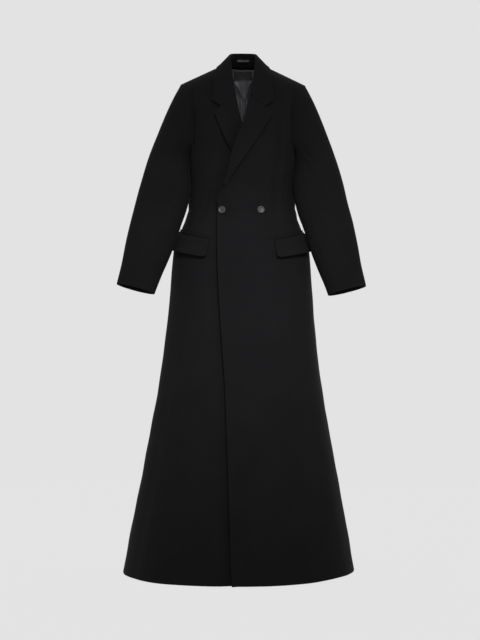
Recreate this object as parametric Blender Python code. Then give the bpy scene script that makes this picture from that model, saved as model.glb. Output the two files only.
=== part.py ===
"""A floor-length double-breasted coat in heavy black wool, hollow as it hangs when worn.

Metres, +Z up. The front faces -Y and the wearer's left is +X. The origin is midway between the two
points where the shoulder seams meet the collar, which is where a wearer's shoulders carry the coat.
"""

import math
import types

import bmesh
import bpy
import numpy as np
from mathutils import Vector

# Driving dimensions
CLOTH = 0.0026          # thickness of the wool
LINING = 0.0012         # thickness of the lining and the label
SEAM_GAP = 0.0003       # two panels that are sewn edge to edge
LAY_GAP = 0.0012        # a layer that lies on another
HEM = -1.532            # height of the hem
NECK_HALF = 0.055       # half the neck's width at the shoulder seams
SHOULDER_HALF = 0.190   # from the middle to the top of the armhole
SHOULDER_FALL = 0.470   # how far the shoulder drops for each metre outwards
NECK_POINT = 0.005      # height of the shoulder seam at the neck
BACK_NECK = 0.004       # height of the back neckline at its middle
SHOULDER_ROUND = 0.055  # depth over which the front and back roll over the shoulder
SECTION_POWER = 2.2     # 2 is an ellipse, more is squarer
BREAK = -0.4035         # height where the lapels start to roll
GORGE_IN = -0.1006      # height where the gorge seam meets the roll line

# Corners where lapel and collar meet: out from the middle, height.
NOTCH = (0.0650, -0.1366)
COLLAR_TIP = (0.0905, -0.1175)
LAPEL_TIP = -0.1573     # height of a lapel's tip
ROLL_WIDTH = 0.0065     # how much of a lapel is taken up by its rolled edge
GORGE_GAP = 0.0024      # between the end of the collar and the top of a lapel
LAPEL_START = 0.034     # how far above the break the lapel parts from the front
LAPEL_GAP = 0.0017      # between a lapel and the front below it
UNDER_LAPEL_EASE = 0.0010

# Grid steps
JOIN_ROWS = 9           # rows from the lapels' start to the join of a seam and the armhole
ARMHOLE_STEP = 18       # degrees between two points of the armhole, shared by body and sleeve
JOIN_ANGLE = 72         # degrees from the shoulder down to where the seams run into the armhole
CAP_ROWS = 6            # rows of a sleeve from the armhole to the first section
SLEEVE_ROWS = 13        # rows from there to the cuff
STAND_STEPS = 3         # the collar's section: up the stand, round the fold, down the leaf
FOLD_STEPS = 3
LEAF_STEPS = 6
BUTTON_STEPS = 24

# Where the seams of a sleeve lie, in degrees round it from the outer line over the front.
SLEEVE_FRONT_SEAM = 126
SLEEVE_BACK_SEAM = 252
FOLD_RADIUS = 0.0036    # of the collar's fold

# Pockets, on the left hip
FLAP_START = (0.0984, -0.5327)   # upper front corner: out from the middle, height
FLAP_RISE = 0.185       # how far it climbs for each metre towards the side
FLAP_LENGTH = 0.150
FLAP_DEPTH = 0.053
FLAP_THICK = 0.0040
FLAP_CORNER = 0.006     # radius of its lower corners
FLAP_LIFT = 0.0030      # how far the loose edge stands off
JET_DEPTH = 0.006
JET_GAP = 0.0010        # between the jet and the flap below it
JET_LIFT = 0.0009
JET_THICK = 0.0016

# Buttons: out from the middle and height.
BUTTONS = {
    "button_fastened": (-0.0586, -0.4442),
    "button_show": (0.0559, -0.4430),
}
BUTTON_RADIUS = 0.011
BUTTON_THICK = 0.0045

# What shows inside the neck
LINING_TOP = 0.001
LINING_LOW = -0.400
LABEL_HALF = (0.030, 0.0125)    # half its width and half its height
LABEL_MIDDLE = -0.0145
LOOP_HALF = (0.0185, 0.0030)    # half the hanger loop's length and half its width
LOOP_STAND = 0.0035             # how far it stands off the collar

# How far the hem lifts above its level round the left hip: middle and width as places round the body.
HEM_LIFT = 0.013
HEM_LIFT_TURN = 0.72
HEM_LIFT_WIDTH = 0.45
HEM_LIFT_TOP = -0.95

# Red, green, blue and roughness.
COLOURS = {
    "wool": (0.016, 0.016, 0.018, 0.92),
    "lining": (0.090, 0.090, 0.098, 0.35),
    "label": (0.070, 0.070, 0.074, 0.55),
    "horn": (0.035, 0.034, 0.033, 0.30),
}


class Table:
    """Rows of sizes with named columns. The first column says where a row lies along the piece."""

    def __init__(self, columns, *rows):
        self.columns = columns.split()
        self.rows = np.array(rows, float)

    def column(self, name):
        return self.rows[:, self.columns.index(name)]

    def each(self):
        return [types.SimpleNamespace(**dict(zip(self.columns, row))) for row in self.rows]

    def with_row(self, *row):
        return Table(" ".join(self.columns), *self.rows, row)

    def at(self, name, place):
        """A column as a smooth curve over the first column, with no overshoot between rows."""
        x, y = self.rows[:, 0], self.column(name)
        step = np.diff(x)
        slope = np.diff(y) / step
        tangent = np.empty(len(x))
        tangent[0], tangent[-1] = slope[0], slope[-1]
        flat = slope[:-1] * slope[1:] <= 0
        harmonic = 2 * slope[:-1] * slope[1:] / np.where(flat, 1, slope[:-1] + slope[1:])
        tangent[1:-1] = np.where(flat, 0, harmonic)
        place = np.asarray(place, float)
        i = np.clip(np.searchsorted(x, place) - 1, 0, len(step) - 1)
        t = np.clip((place - x[i]) / step[i], 0, 1)
        return hermite(y[i], tangent[i] * step[i], y[i + 1], tangent[i + 1] * step[i], t)


def hermite(start, leave, end, arrive, t):
    """A curve from start to end with the given directions, at t from 0 to 1."""
    return (
        start * (1 + 2 * t) * (1 - t) ** 2
        + leave * t * (1 - t) ** 2
        + end * t * t * (3 - 2 * t)
        - arrive * t * t * (1 - t)
    )


# The body's level sections, from hem to neck. Above the armpit the half width runs on inside the sleeve.
BODY_SECTIONS = Table(
    "height half_width front_depth back_depth",
    (-1.532, 0.3460, 0.262, 0.285),
    (-1.391, 0.3210, 0.238, 0.262),
    (-1.254, 0.2972, 0.216, 0.240),
    (-1.118, 0.2735, 0.197, 0.220),
    (-0.982, 0.2498, 0.180, 0.200),
    (-0.845, 0.2303, 0.165, 0.181),
    (-0.709, 0.2179, 0.152, 0.164),
    (-0.610, 0.2100, 0.143, 0.151),
    (-0.570, 0.2070, 0.139, 0.145),
    (-0.540, 0.2020, 0.134, 0.138),
    (-0.503, 0.1860, 0.124, 0.124),
    (-0.470, 0.1715, 0.114, 0.110),
    (-0.427, 0.1627, 0.107, 0.101),
    (-0.380, 0.1605, 0.109, 0.101),
    (-0.320, 0.1600, 0.117, 0.106),
    (-0.262, 0.1600, 0.122, 0.112),
    (-0.235, 0.1630, 0.122, 0.114),
    (-0.200, 0.1680, 0.120, 0.116),
    (-0.160, 0.1760, 0.115, 0.115),
    (-0.120, 0.1860, 0.107, 0.111),
    (-0.085, 0.1960, 0.097, 0.104),
    (-0.055, 0.2060, 0.084, 0.094),
    (0.010, 0.2250, 0.050, 0.064),
)

# Soft flutes of the skirt: where they lie round the body (0 front, 1 side, 2 back), how wide they are
# in the same measure, how far they stand out at the hem and the height where they die out.
SKIRT_FLUTES = Table(
    "turn width stand top",
    (0.42, 0.20, 0.010, -0.80),
    (0.98, 0.16, 0.005, -0.95),
    (1.36, 0.17, 0.013, -0.75),
    (1.80, 0.16, 0.016, -0.70),
    (-0.50, 0.22, 0.008, -0.85),
    (-1.02, 0.15, 0.006, -1.00),
    (-1.42, 0.18, 0.015, -0.72),
    (-1.84, 0.14, 0.013, -0.78),
)

# The overlapping front's free edge and roll line, out from the middle towards its own side.
FRONT_EDGE = Table(
    "height out",
    (-1.532, -0.0196),
    (-1.380, -0.0262),
    (-1.118, -0.0374),
    (-0.930, -0.0468),
    (-0.843, -0.0545),
    (-0.740, -0.0620),
    (-0.652, -0.0685),
    (-0.513, -0.0725),
    (-0.4035, -0.0735),
)
ROLL_LINE = Table(
    "height out",
    (-0.4035, -0.0735),
    (-0.376, -0.0590),
    (-0.3465, -0.0475),
    (-0.307, -0.0390),
    (-0.270, -0.0300),
    (-0.210, -0.0085),
    (-0.160, 0.0085),
    (-0.1006, 0.0205),
    (-0.023, 0.0350),
)
NECK_EDGE = Table(
    "height out",
    (-0.1006, 0.0270),
    (-0.050, 0.0415),
    (0.005, 0.0550),
)

# The free edges of the two lapels, up to their tips. The left one is wider and slants more.
LAPEL_EDGE = Table(
    "height left right",
    (-0.4035, -0.0680, -0.0680),
    (-0.3193, -0.0150, -0.0040),
    (-0.2727, 0.0168, 0.0305),
    (-0.2284, 0.0462, 0.0530),
    (-0.1573, 0.0885, 0.0818),
)

# A lapel's rolled edge, from the roll line outwards: how far its two faces lie above the front.
LAPEL_ROLL = Table(
    "share outer inner",
    (0.00, 0.0006, -0.0026),
    (0.33, 0.0027, -0.0022),
    (0.67, 0.0035, -0.0010),
)

# Seams between front and side panel, and between side panel and back, as places round the body.
FRONT_SEAM = Table(
    "height turn",
    (-1.532, 0.490),
    (-0.845, 0.445),
    (-0.610, 0.430),
    (-0.503, 0.410),
    (-0.406, 0.415),
    (-0.267, 0.445),
    (-0.200, 0.440),
    (-0.165, 0.462),
)
BACK_SEAM = Table(
    "height turn",
    (-1.532, 1.480),
    (-0.845, 1.500),
    (-0.503, 1.490),
    (-0.406, 1.480),
    (-0.267, 1.400),
    (-0.190, 1.340),
)

# The armhole: height, and how far out from the middle it lies in front and at the back.
ARMHOLE = Table(
    "height front_out back_out",
    (-0.262, 0.1600, 0.1600),
    (-0.252, 0.1540, 0.1590),
    (-0.235, 0.1500, 0.1580),
    (-0.200, 0.1455, 0.1570),
    (-0.160, 0.1460, 0.1580),
    (-0.120, 0.1530, 0.1630),
    (-0.085, 0.1700, 0.1760),
    (-0.05845, 0.1900, 0.1900),
)

# The left sleeve from just below the armpit to the cuff: its outer and inner outline seen from the front,
# half its depth, how far forward its middle lies, and how far its sections lean (front edge up).
SLEEVE_SECTIONS = Table(
    "row outer_x outer_z inner_x inner_z half_depth forward lean",
    (0, 0.2610, -0.2190, 0.1615, -0.2900, 0.0600, 0.006, 0.00),
    (1, 0.2790, -0.2700, 0.1605, -0.3240, 0.0575, 0.020, 0.04),
    (2, 0.2955, -0.3240, 0.1590, -0.3670, 0.0555, 0.034, 0.06),
    (3, 0.3120, -0.3860, 0.1665, -0.4210, 0.0530, 0.040, 0.08),
    (4, 0.3252, -0.4400, 0.1785, -0.4730, 0.0510, 0.048, 0.10),
    (5, 0.3392, -0.5030, 0.1958, -0.5360, 0.0480, 0.066, 0.12),
    (6, 0.3535, -0.5760, 0.2215, -0.6060, 0.0430, 0.070, 0.14),
    (7, 0.3633, -0.6240, 0.2420, -0.6530, 0.0390, 0.071, 0.15),
    (8, 0.3722, -0.6640, 0.2575, -0.6930, 0.0360, 0.072, 0.16),
)

# The collar from the middle of the back to the notch: its fold, the place on the neckline below it
# (0 middle of the back, 1 shoulder seam, 2 gorge), and the leaf's edge, which lies on the body so far
# out and so far below the shoulder line, at the back (-1) or in front (1).
COLLAR_STATIONS = Table(
    "fold_x fold_y fold_z neck_place edge_x edge_drop face",
    (0.0000, 0.0500, 0.0470, 0.00, 0.0000, 0.0480, -1),
    (0.0160, 0.0485, 0.0467, 0.3333, 0.0330, 0.0340, -1),
    (0.0290, 0.0390, 0.0445, 0.6667, 0.0600, 0.0165, -1),
    (0.0355, 0.0180, 0.0395, 0.95, 0.0725, 0.0040, -1),
    (0.0375, -0.0060, 0.0330, 1.04, 0.0760, 0.0012, 1),
    (0.0365, -0.0290, 0.0180, 1.18, 0.0800, 0.0160, 1),
    (0.0345, -0.0530, -0.0080, 1.42, 0.0840, 0.0420, 1),
    (0.0300, -0.0815, -0.0470, 1.70, 0.0870, 0.0700, 1),
)

# A button's profile from the middle of its back to that of its face, as parts of radius and thickness.
BUTTON_PROFILE = Table(
    "radius level",
    (0.00, 0.00),
    (0.70, 0.00),
    (0.93, 0.22),
    (1.00, 0.52),
    (0.96, 0.86),
    (0.86, 1.00),
    (0.76, 0.94),
    (0.68, 0.72),
    (0.00, 0.66),
)

# Half the width of the lining that shows in the back.
LINING_WIDTH = Table(
    "height half_width",
    (-0.400, 0.108),
    (-0.250, 0.118),
    (-0.120, 0.108),
    (-0.060, 0.076),
    (-0.004, 0.040),
)


def smooth_step(low, high, value):
    """0 up to low, 1 from high, with a soft start and end."""
    t = np.clip((np.asarray(value, float) - low) / (high - low), 0, 1)
    return t * t * (3 - 2 * t)


def unit(vectors):
    return vectors / np.linalg.norm(vectors, axis=-1, keepdims=True)


def body_column(name, height):
    return BODY_SECTIONS.at(name, height)


def shoulder_line(out):
    """Height of the shoulder seam, so far out from the middle."""
    return NECK_POINT - SHOULDER_FALL * (np.abs(out) - NECK_HALF)


def turn_at(out, height, back=False):
    """The place round the body, 0 front, 1 side, 2 back, of a point so far out from the middle."""
    ratio = np.clip(np.abs(out) / body_column("half_width", height), 0, 1)
    turn = np.arcsin(ratio ** (SECTION_POWER / 2)) / (math.pi / 2)
    return np.sign(out) * (2 - turn if back else turn)


def skirt_flutes(turn, height):
    """How far the flutes push the skirt out."""
    stand = np.zeros(np.broadcast(turn, height).shape)
    for flute in SKIRT_FLUTES.each():
        away = (np.asarray(turn) - flute.turn + 2) % 4 - 2
        spread = np.exp(-((away / flute.width) ** 2))
        stand = stand + flute.stand * spread * smooth_step(flute.top, HEM, height)
    return stand


def body_surface(turn, height):
    """Points of the outer cloth round the body."""
    turn, height = np.broadcast_arrays(np.asarray(turn, float), np.asarray(height, float))
    angle = turn * math.pi / 2
    sine, cosine = np.sin(angle), np.cos(angle)
    power = 2 / SECTION_POWER
    flutes = skirt_flutes(turn, height)
    depth = np.where(cosine > 0, body_column("front_depth", height), body_column("back_depth", height))
    x = (body_column("half_width", height) + flutes) * np.sign(sine) * np.abs(sine) ** power
    drop = np.clip(shoulder_line(x) - height, 0, SHOULDER_ROUND) / SHOULDER_ROUND
    roll = np.sqrt(1 - (1 - drop) ** 2)
    seam = SEAM_GAP * smooth_step(-0.20, -0.10, height)
    y = -np.sign(cosine) * (seam + (depth + flutes) * roll * np.abs(cosine) ** power)
    hip = np.exp(-(((turn - HEM_LIFT_TURN) / HEM_LIFT_WIDTH) ** 2))
    rise = HEM_LIFT * hip * smooth_step(HEM_LIFT_TOP, HEM, height)
    return np.stack([x, y, height + rise], axis=-1)


def body_normals(turn, height, step_turn=1e-3, step_height=2e-4):
    """Outward unit normals, from points just inside each place so that the shoulder's top edge counts."""
    inwards = np.where(np.sin(turn * math.pi) > 0, -1.0, 1.0)
    here = body_surface(turn, height)
    along_turn = (body_surface(turn + inwards * step_turn, height) - here) * inwards[..., None]
    normal = np.cross(along_turn, here - body_surface(turn, height - step_height))
    return unit(normal)


def lap_sink(turn, height):
    """How far the under front lies below the overlapping front's cloth."""
    out = body_surface(turn, height)[..., 0]
    edge = inner_edge(height)
    deep = CLOTH + LAY_GAP + (CLOTH + 2 * LAY_GAP) * smooth_step(BREAK - 0.08, BREAK - 0.01, height)
    return deep * smooth_step(-0.045, -0.006, out - edge)


def inner_edge(height):
    """The overlapping front's inner outline from hem to neck: free edge, then roll line."""
    height = np.asarray(height, float)
    return np.where(height < BREAK, FRONT_EDGE.at("out", height), ROLL_LINE.at("out", height))


def front_inner(height):
    """Where a front panel itself ends: its free edge, inside the lapel's roll, then the neck seam."""
    height = np.asarray(height, float)
    rolled = ROLL_LINE.at("out", height) + ROLL_WIDTH * smooth_step(BREAK - 0.004, BREAK + 0.03, height)
    edge = np.where(height < BREAK, FRONT_EDGE.at("out", height), rolled)
    return np.where(height > GORGE_IN, NECK_EDGE.at("out", height), edge)


def armhole_places(degrees):
    """(turn, height) round the left armhole: 0 on the shoulder, 90 in front, 180 at the armpit."""
    bottom, top = ARMHOLE.column("height")[[0, -1]]
    angle = np.radians(degrees)
    height = (bottom + top) / 2 + (top - bottom) / 2 * np.cos(angle)
    front = turn_at(ARMHOLE.at("front_out", height), height)
    back = turn_at(ARMHOLE.at("back_out", height), height, back=True)
    return np.stack([np.where(np.sin(angle) >= 0, front, back), height], axis=-1)


def front_outer_turn(height):
    """The front panel's other outline: the front seam, then the armhole."""
    join_turn, join = armhole_places(JOIN_ANGLE)
    seam = FRONT_SEAM.with_row(join, join_turn).at("turn", height)
    return np.where(height > join, turn_at(ARMHOLE.at("front_out", height), height), seam)


def back_outer_turn(height):
    """The back panel's outline: the back seam, then the armhole."""
    join_turn, join = armhole_places(360 - JOIN_ANGLE)
    seam = BACK_SEAM.with_row(join, join_turn).at("turn", height)
    return np.where(height > join, turn_at(ARMHOLE.at("back_out", height), height, back=True), seam)


def plain_heights():
    """Heights of the level rows: wide apart on the skirt, close round hip and waist."""
    skirt = np.linspace(HEM, -0.610, 15)
    hip = np.linspace(-0.610, BREAK, 11)
    return np.concatenate([skirt, hip[1:]])


def coons(bottom, top, left, right):
    """A grid between four outlines, each a list of (turn, height), rows from bottom to top."""
    u = np.linspace(0, 1, len(bottom))[None, :, None]
    v = np.linspace(0, 1, len(left))[:, None, None]
    corners = (
        (1 - u) * (1 - v) * bottom[0]
        + u * (1 - v) * bottom[-1]
        + (1 - u) * v * top[0]
        + u * v * top[-1]
    )
    return (1 - v) * bottom[None] + v * top[None] + (1 - u) * left[:, None] + u * right[:, None] - corners


def upper_heights(top):
    """Heights from the lapels' start to a panel's top, closer and closer along the armhole."""
    armhole = armhole_places(np.arange(JOIN_ANGLE, -1, -ARMHOLE_STEP))[:, 1]
    level = np.linspace(BREAK, armhole[0], JOIN_ROWS)
    rise = (armhole - armhole[0]) / (armhole[-1] - armhole[0])
    return np.concatenate([level, armhole[0] + (top - armhole[0]) * rise[1:]])


def panel_places(inner_turn, outer_turn, top, inner_heights, outer_heights):
    """(turn, height) of a panel's grid: level rows to BREAK, then rows that bend up to its top outline."""
    heights = plain_heights()
    across = np.linspace(0, 1, len(top))
    turns = inner_turn(heights)[:, None] * (1 - across) + outer_turn(heights)[:, None] * across
    plain = np.stack([turns, np.repeat(heights[:, None], len(top), axis=1)], axis=-1)
    left = np.stack([inner_turn(inner_heights), inner_heights], axis=-1)
    right = np.stack([outer_turn(outer_heights), outer_heights], axis=-1)
    left[-1], right[-1] = top[0], top[-1]
    upper = coons(plain[-1], top, left, right)
    return np.concatenate([plain, upper[1:]])


def shoulder_outline(columns, back=False):
    """(turn, height) along the shoulder seam, from the neck to the top of the armhole."""
    out = np.linspace(NECK_HALF, SHOULDER_HALF, columns)
    height = shoulder_line(out)
    return np.stack([turn_at(out, height, back), height], axis=-1)


def seam_turn(height):
    """A little over half a seam's gap, as a turn round the body."""
    return 0.6 * SEAM_GAP / (body_column("half_width", height) * math.pi / 2)


def front_places(columns=9):
    """The overlapping front, on the wearer's left."""

    def inner_turn(height):
        return turn_at(front_inner(height), height)

    def outer_turn(height):
        return front_outer_turn(height) - seam_turn(height)

    top = shoulder_outline(columns)
    return panel_places(inner_turn, outer_turn, top, upper_heights(top[0, 1]), upper_heights(top[-1, 1]))


def side_places():
    """The left side panel, whose top is the lower part of the armhole."""
    top = armhole_places(np.arange(JOIN_ANGLE, 360 - JOIN_ANGLE + 1, ARMHOLE_STEP))
    top[0, 0] += seam_turn(top[0, 1])
    top[-1, 0] -= seam_turn(top[-1, 1])

    def inner_turn(height):
        return front_outer_turn(height) + seam_turn(height)

    def outer_turn(height):
        return back_outer_turn(height) - seam_turn(height)

    heights = np.linspace(BREAK, top[0, 1], JOIN_ROWS)
    return panel_places(inner_turn, outer_turn, top, heights, heights)


def back_neckline(out):
    """Height of the neckline at the back."""
    return BACK_NECK + (NECK_POINT - BACK_NECK) * (np.abs(out) / NECK_HALF) ** 2


def back_places(shoulder_columns=6, neck_columns=4):
    """The left back, from the back seam to the middle of the back."""
    shoulder = shoulder_outline(shoulder_columns, back=True)[::-1]
    out = np.linspace(NECK_HALF, 0, neck_columns)[1:]
    height = back_neckline(out)
    neck = np.stack([2 - turn_at(out, height), height], axis=-1)
    top = np.concatenate([shoulder, neck])

    def inner_turn(height):
        return back_outer_turn(height) + seam_turn(height)

    def outer_turn(height):
        return 2 - seam_turn(height)

    top[-1, 0] -= seam_turn(BACK_NECK)
    return panel_places(inner_turn, outer_turn, top, upper_heights(top[0, 1]), upper_heights(top[-1, 1]))


def lifted(places, outward):
    """Points of the body at (turn, height) places, moved outwards by a number or an array."""
    turn, height = places[..., 0], places[..., 1]
    outward = np.broadcast_to(outward, turn.shape)
    return body_surface(turn, height) + body_normals(turn, height) * outward[..., None]


def other_side(places):
    """The same (turn, height) places on the wearer's right, where the cloth has its own folds."""
    return places * np.array([-1.0, 1.0])


def mirrored(points):
    return points * np.array([-1.0, 1.0, 1.0])


def material_of(name):
    made = bpy.data.materials.get(name)
    if made is None:
        red, green, blue, roughness = COLOURS[name]
        made = bpy.data.materials.new(name)
        made.use_nodes = True
        shader = made.node_tree.nodes["Principled BSDF"]
        shader.inputs["Base Color"].default_value = (red, green, blue, 1)
        shader.inputs["Roughness"].default_value = roughness
        shader.inputs["Metallic"].default_value = 0
    return made


def add_object(name, mesh, material, coat):
    """A named object of the coat, shaded smooth but for its edges."""
    if not mesh.materials:
        mesh.materials.append(material_of(material))
    mesh.shade_smooth()
    mesh.set_sharp_from_angle(angle=math.radians(40))
    made = bpy.data.objects.new(name, mesh)
    made.parent = coat
    bpy.context.scene.collection.objects.link(made)
    return made


def signed_volume(vertices, faces):
    """Six times the volume that the faces enclose, negative if they point inwards."""
    corners = np.array(vertices)
    return sum(
        np.dot(corners[f[0]], np.cross(corners[f[i]], corners[f[i + 1]]))
        for f in faces
        for i in range(1, len(f) - 1)
    )


def wall(coat, name, outer, inner, material="wool"):
    """A closed sheet between two grids of points of the same shape, with its faces turned outwards."""
    rows, columns = outer.shape[:2]
    vertices = np.concatenate([outer.reshape(-1, 3), inner.reshape(-1, 3)])
    below = rows * columns

    def at(row, column, side):
        return row * columns + column + side * below

    faces = []
    for r in range(rows - 1):
        for c in range(columns - 1):
            square = [(r, c), (r, c + 1), (r + 1, c + 1), (r + 1, c)]
            faces.append([at(*corner, 0) for corner in square])
            faces.append([at(*corner, 1) for corner in reversed(square)])
    ring = (
        [(0, c) for c in range(columns - 1)]
        + [(r, columns - 1) for r in range(rows - 1)]
        + [(rows - 1, c) for c in range(columns - 1, 0, -1)]
        + [(r, 0) for r in range(rows - 1, 0, -1)]
    )
    for here, there in zip(ring, ring[1:] + ring[:1]):
        faces.append([at(*there, 0), at(*here, 0), at(*here, 1), at(*there, 1)])
    if signed_volume(vertices, faces) < 0:
        faces = [face[::-1] for face in faces]
    mesh = bpy.data.meshes.new(name)
    mesh.from_pydata([tuple(map(float, v)) for v in vertices], [], faces)
    return add_object(name, mesh, material, coat)


def make_body(coat):
    """Two fronts, two side panels and two backs."""
    front = front_places()
    wall(coat, "front_left", lifted(front, 0), lifted(front, -CLOTH))
    under = other_side(front)
    sink = lap_sink(under[..., 0], under[..., 1])
    wall(coat, "front_right", lifted(under, -sink), lifted(under, -sink - CLOTH))
    for name, left in (("side", side_places()), ("back", back_places())):
        for side, places in (("_left", left), ("_right", other_side(left))):
            wall(coat, name + side, lifted(places, 0), lifted(places, -CLOTH))


def sleeve_ring(degrees, place):
    """A point of the left sleeve below the armpit; place is a row of SLEEVE_SECTIONS."""
    outer_x, outer_z = SLEEVE_SECTIONS.at("outer_x", place), SLEEVE_SECTIONS.at("outer_z", place)
    inner_x, inner_z = SLEEVE_SECTIONS.at("inner_x", place), SLEEVE_SECTIONS.at("inner_z", place)
    half_depth, lean = SLEEVE_SECTIONS.at("half_depth", place), SLEEVE_SECTIONS.at("lean", place)
    across, ahead = np.cos(np.radians(degrees)), np.sin(np.radians(degrees))
    x = (outer_x + inner_x) / 2 + (outer_x - inner_x) / 2 * across
    y = -SLEEVE_SECTIONS.at("forward", place) - half_depth * np.cos(lean) * ahead
    z = (outer_z + inner_z) / 2 + (outer_z - inner_z) / 2 * across + half_depth * np.sin(lean) * ahead
    return np.stack(np.broadcast_arrays(x, y, z), axis=-1)


def sleeve_start(degrees):
    """The sleeve's edge at the armhole, and the direction onwards from the body panel."""
    places = armhole_places(degrees)
    edge = lifted(places, 0)
    along_edge = lifted(armhole_places(degrees + 0.1), 0) - lifted(armhole_places(degrees - 0.1), 0)
    out = body_normals(places[..., 0], places[..., 1])
    onwards = unit(np.cross(out, along_edge))
    chord = unit(sleeve_ring(degrees, 0.0) - edge)
    folded = np.clip(-np.sum(chord * onwards, axis=-1, keepdims=True), 0, 1)
    return edge + onwards * 2 * SEAM_GAP + out * LAY_GAP * folded, onwards


def sleeve_surface(degrees, place):
    """Points of the left sleeve: the cap from -1 at the armhole to 0, then the rows of SLEEVE_SECTIONS."""
    start, onwards = sleeve_start(degrees)
    end = sleeve_ring(degrees, 0 * degrees)
    length = np.linalg.norm(end - start, axis=-1, keepdims=True)
    leave = unit(unit(end - start) + 0.45 * onwards) * length
    arrive = unit(sleeve_ring(degrees, 0 * degrees + 0.05) - end) * length
    t = np.clip(place + 1, 0, 1)[..., None]
    cap = hermite(start, leave, end, arrive, t)
    return np.where(place[..., None] < 0, cap, sleeve_ring(degrees, np.maximum(place, 0)))


def sleeve_piece(coat, name, first, last):
    """One piece of both sleeves, between two angles in degrees."""
    angles = np.arange(first, last + 1, ARMHOLE_STEP, dtype=float)
    gap = math.degrees(SEAM_GAP / 0.06)
    angles[0] += gap
    angles[-1] -= gap
    cap = np.linspace(-1, 0, CAP_ROWS + 1)
    places = np.concatenate([cap, np.linspace(0, SLEEVE_SECTIONS.column("row")[-1], SLEEVE_ROWS)[1:]])
    degrees, place = np.meshgrid(angles, places)
    outer = sleeve_surface(degrees, place)
    above, below = np.maximum(place - 2e-3, -1), np.minimum(place + 2e-3, places[-1])
    around = sleeve_surface(degrees + 0.1, place) - sleeve_surface(degrees - 0.1, place)
    normal = unit(np.cross(around, sleeve_surface(degrees, below) - sleeve_surface(degrees, above)))
    inner = outer - normal * CLOTH
    _, onwards = sleeve_start(angles)
    leaning = np.clip(np.sum(normal[0] * onwards, axis=-1, keepdims=True), 0, 1)
    inner[0] = inner[0] + onwards * leaning * CLOTH
    wall(coat, "sleeve_left_" + name, outer, inner)
    wall(coat, "sleeve_right_" + name, mirrored(outer), mirrored(inner))


def make_sleeves(coat):
    sleeve_piece(coat, "top", SLEEVE_BACK_SEAM - 360, SLEEVE_FRONT_SEAM)
    sleeve_piece(coat, "under", SLEEVE_FRONT_SEAM, SLEEVE_BACK_SEAM)


def lapel_places(name, rows=13, flat_columns=7):
    """(out, height) of the grid of the left or right lapel, from its roll line to its free edge."""
    low = BREAK + LAPEL_START
    roll_heights = np.linspace(low, GORGE_IN - GORGE_GAP, rows)
    edge_heights = np.linspace(low, LAPEL_TIP, rows)
    roll = np.stack([ROLL_LINE.at("out", roll_heights), roll_heights], axis=-1)
    taper = 0.3 + 0.7 * smooth_step(BREAK, BREAK + 0.06, roll_heights)
    inside = roll + np.stack([(ROLL_WIDTH - 0.0005) * taper, 0 * taper], axis=-1)
    free = np.stack([LAPEL_EDGE.at(name, edge_heights), edge_heights], axis=-1)
    share = np.linspace(0, 1, flat_columns)
    bottom = inside[0] * (1 - share[:, None]) + free[0] * share[:, None]
    gorge = np.array([inside[-1], (NOTCH[0], NOTCH[1] - GORGE_GAP), free[-1]])
    way = np.concatenate([[0], np.cumsum(np.linalg.norm(np.diff(gorge, axis=0), axis=1))])
    top = np.stack([np.interp(share * way[-1], way, gorge[:, i]) for i in (0, 1)], axis=-1)
    top[np.argmin(np.abs(share * way[-1] - way[1]))] = gorge[1]
    flat = coons(bottom, top, inside, free)
    rolled = [roll + (inside - roll) * step.share for step in LAPEL_ROLL.each()]
    return np.concatenate([np.stack(rolled, axis=1), flat], axis=1)


def make_lapels(coat):
    for name, side in (("left", 1), ("right", -1)):
        grid = lapel_places(name)
        height = grid[..., 1]
        outer_lift = np.full(height.shape, LAPEL_GAP + CLOTH)
        inner_lift = np.full(height.shape, LAPEL_GAP)
        rolled = smooth_step(BREAK + 0.03, BREAK + 0.07, height[:, 0])
        for column, step in enumerate(LAPEL_ROLL.each()):
            outer_lift[:, column] += (step.outer - outer_lift[:, column]) * rolled
            inner_lift[:, column] += (step.inner - inner_lift[:, column]) * rolled
        places = np.stack([turn_at(side * grid[..., 0], height), height], axis=-1)
        sink = lap_sink(places[..., 0], height) - UNDER_LAPEL_EASE if side < 0 else 0
        wall(coat, "lapel_" + name, lifted(places, outer_lift - sink), lifted(places, inner_lift - sink))


def neckline(place):
    """(turn, height) on the left half of the neckline: 0 middle of the back, 1 shoulder seam, 2 gorge."""
    back_out = NECK_HALF * min(place, 1)
    back_height = back_neckline(back_out)
    front_height = NECK_POINT + (GORGE_IN - NECK_POINT) * max(place - 1, 0)
    if place <= 1:
        return np.array([2 - turn_at(back_out, back_height), back_height])
    return np.array([turn_at(NECK_EDGE.at("out", front_height), front_height), front_height])


def collar_section(fold, seam, edge, tangent):
    """A section through the collar: up the stand, over the fold and down the leaf to its edge."""
    rise = fold - (seam + edge[-1]) / 2
    rise = unit(rise - tangent * np.dot(rise, tangent))
    out = np.cross(rise, tangent)
    centre = fold - rise * FOLD_RADIUS
    angles = np.linspace(-math.pi / 2, math.pi / 2, FOLD_STEPS + 2)
    arc = [centre + FOLD_RADIUS * (out * math.sin(a) + rise * math.cos(a)) for a in angles]
    stand = [seam + (arc[0] - seam) * i / STAND_STEPS for i in range(STAND_STEPS)]
    path = np.array([arc[-1], *edge])
    way = np.concatenate([[0], np.cumsum(np.linalg.norm(np.diff(path, axis=0), axis=1))])
    share = np.linspace(0, way[-1], LEAF_STEPS + 1)[1:]
    if len(edge) > 1:
        share[np.argmin(np.abs(share - way[-2]))] = way[-2]
    leaf = np.stack([np.interp(share, way, path[:, i]) for i in range(3)], axis=-1)
    return np.array([*stand, *arc, *leaf])


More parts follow.
